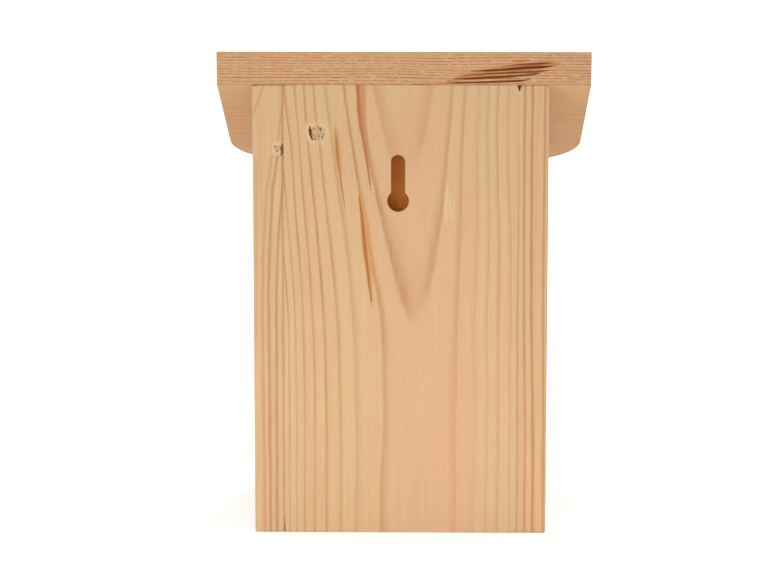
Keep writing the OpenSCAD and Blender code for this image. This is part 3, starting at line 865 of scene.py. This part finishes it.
def make_cane(number, material, draw):
    node_name = f"cane_{number:02d}"
    centre, radius, front, rear, bore, floor = cane_measures(node_name)
    arris = 0.5 * MM
    rub = 0.12 * MM
    profile = [
        (0, floor - 0.9 * MM),
        (bore * 0.5, floor - 0.6 * MM),
        (bore * 0.88, floor - 0.1 * MM),
        (bore, floor - arris),
        (bore, (front + floor) / 2),
        (bore, front + arris),
        (bore + rub, front + rub),
        (bore + arris, front),
        ((bore + radius) / 2, front),
        (radius - arris, front),
        (radius - rub, front + rub),
        (radius, front + arris),
        (radius, (front + rear) / 2),
        (radius, rear - arris),
        (radius - arris, rear),
        (0, rear),
    ]
    shape = turned(profile, centre, CANE_FACETS)
    wall = shape.verts.layers.float.new("wall")
    tone = shape.verts.layers.float.new("tone")
    cane_tone = draw.random()
    oval_turn = draw.uniform(0, math.tau)
    bore_turn = draw.uniform(0, math.tau)
    cut_turn = draw.uniform(0, math.tau)
    cut_tilt = draw.uniform(0.0, STEEPEST_CUT)
    for vert in shape.verts:
        side, up = vert.co.x - centre.x, vert.co.z - centre.z
        distance = math.hypot(side, up)
        turn = math.atan2(up, side)
        depth = (distance - bore) / (radius - bore)
        vert[tone] = cane_tone
        vert[wall] = max(depth, 0.0) if distance > bore * 0.95 else -1.0
        share = min(max(depth, 0.0), 1.0)
        skin_fit = 1 - OVAL_SKIN * (1 + math.sin(2 * turn + oval_turn))
        bore_fit = 1 - OVAL_BORE * (1 + math.sin(2 * turn + bore_turn))
        bore_fit += LOBED_BORE * math.sin(3 * turn + oval_turn)
        fit = skin_fit * share + bore_fit * (1 - share)
        vert.co.x = centre.x + side * fit
        vert.co.z = centre.z + up * fit
        if vert.co.y < front + MM:
            vert.co.y += cut_tilt * (radius + side * math.cos(cut_turn) + up * math.sin(cut_turn))
    finish_piece(shape, f"bamboo_{number:02d}", node_name, material)


def make_canes():
    material = bamboo()
    draw = random.Random(CANE_SEED)
    count = sum(name.startswith("cane_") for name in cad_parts)
    for number in range(1, count + 1):
        make_cane(number, material, draw)


make_canes()

ZINC_LIGHT = srgb(214, 214, 210)
ZINC_DARK = srgb(176, 178, 178)
ZINC_SWELLS = 0.9


def zinc():
    """Bright zinc plating, a little cloudy."""
    material, wires, shader = new_material("zinc_plate", specular=0.5)
    shader["Metallic"].default_value = 1.0
    place = wires.scaled(wires.node("TexCoord").outputs["Object"], 1 / MM)
    clouds = wires.noise(wires.scaled(place, ZINC_SWELLS), 3.0)
    wires.feed(shader["Base Color"], wires.mix(wires.ramp(clouds, 0.35, 0.65), ZINC_DARK, ZINC_LIGHT))
    wires.feed(shader["Roughness"], wires.ramp(clouds, 0.3, 0.7, 0.42, 0.28))
    add_relief(wires, shader, clouds, ZINC_RELIEF)
    return material


def plate_screws():
    plating = zinc()
    for name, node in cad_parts.items():
        if name.endswith("_screws"):
            for slot in node.material_slots:
                slot.material = plating


plate_screws()

CAMERA_PLACE = Vector((-0.0119, 1.496, 0.384))
CAMERA_AIM = Vector((0.0093, 0.070, 0.1255))
CAMERA_LENS = 135.6
FILM_WIDTH = 36
LAMP_AIM_HEIGHT = 0.12

camera = bpy.data.objects.new("camera", bpy.data.cameras.new("camera"))
camera.location = CAMERA_PLACE
camera.rotation_euler = (CAMERA_AIM - CAMERA_PLACE).to_track_quat("-Z", "Y").to_euler()
camera.data.sensor_width = FILM_WIDTH
camera.data.lens = CAMERA_LENS
bpy.context.scene.collection.objects.link(camera)
bpy.context.scene.camera = camera


def soft_lamp(name, place, size, power, height=None):
    """A round lamp turned to the hotel, or a long low one where height is given."""
    lamp = bpy.data.lights.new(name, "AREA")
    lamp.shape = "RECTANGLE" if height else "DISK"
    lamp.size = size
    if height:
        lamp.size_y = height
    lamp.energy = power
    holder = bpy.data.objects.new(name, lamp)
    holder.location = place
    aim = Vector((0, 0, place[2] if height else LAMP_AIM_HEIGHT))
    holder.rotation_euler = (aim - Vector(place)).to_track_quat("-Z", "Y").to_euler()
    bpy.context.scene.collection.objects.link(holder)


soft_lamp("wall_side_lamp", (0.66, 1.2, 0.35), size=0.4, power=2.1)
soft_lamp("wall_side_strip", (0.0, 0.3, 0.025), size=0.6, power=0.2, height=0.04)
soft_lamp("front_lamp", (-0.8, -1.5, 0.9), size=1.2, power=15)
soft_lamp("top_lamp", (0.2, 0.1, 1.8), size=1.2, power=8)

WHITE = (1.0, 1.0, 1.0, 1.0)
PALE_GREY = (0.80, 0.80, 0.80, 1.0)
PALER_GREY = (0.82, 0.82, 0.82, 1.0)
ROOM_LIGHT = 0.61
GROUND_SIZE = 6
GROUND_SWELLS = 40.0
NEAR_GLOW = 0.42


def seen_directly(wires):
    """1 for the camera's rays and for mirrored ones, which are to meet a white room."""
    rays = wires.node("LightPath").outputs
    return wires.math("MAXIMUM", rays["Is Camera Ray"], rays["Is Glossy Ray"])


def light_room():
    world = bpy.data.worlds.new("studio")
    world.use_nodes = True
    bpy.context.scene.world = world
    wires = Wiring(world.node_tree)
    background = world.node_tree.nodes["Background"]
    background.inputs["Color"].default_value = WHITE
    wires.feed(background.inputs["Strength"], wires.ramp(seen_directly(wires), 0.0, 1.0, ROOM_LIGHT, 1.0))


def make_ground():
    """Pale ground that fades to white, so that only the hotel's soft shadow marks it."""
    shape = bmesh.new()
    bmesh.ops.create_grid(shape, x_segments=1, y_segments=1, size=GROUND_SIZE)
    mesh = bpy.data.meshes.new("ground")
    shape.to_mesh(mesh)
    shape.free()
    ground = bpy.data.objects.new("ground", mesh)
    bpy.context.scene.collection.objects.link(ground)
    material, wires, shader = new_material("pale_ground", specular=0.0)
    shader["Roughness"].default_value = 0.9
    place = wires.node("TexCoord").outputs["Object"]
    speckle = wires.noise(wires.scaled(place, GROUND_SWELLS))
    wires.feed(shader["Base Color"], wires.mix(speckle, PALE_GREY, PALER_GREY))
    glow = wires.ramp(wires.vector("LENGTH", place), 0.25, 1.2, NEAR_GLOW, 1.0)
    shader["Emission Color"].default_value = WHITE
    wires.feed(shader["Emission Strength"], wires.math("MULTIPLY", seen_directly(wires), glow))
    mesh.materials.append(material)


light_room()
make_ground()
bpy.context.scene.view_settings.view_transform = "Standard"
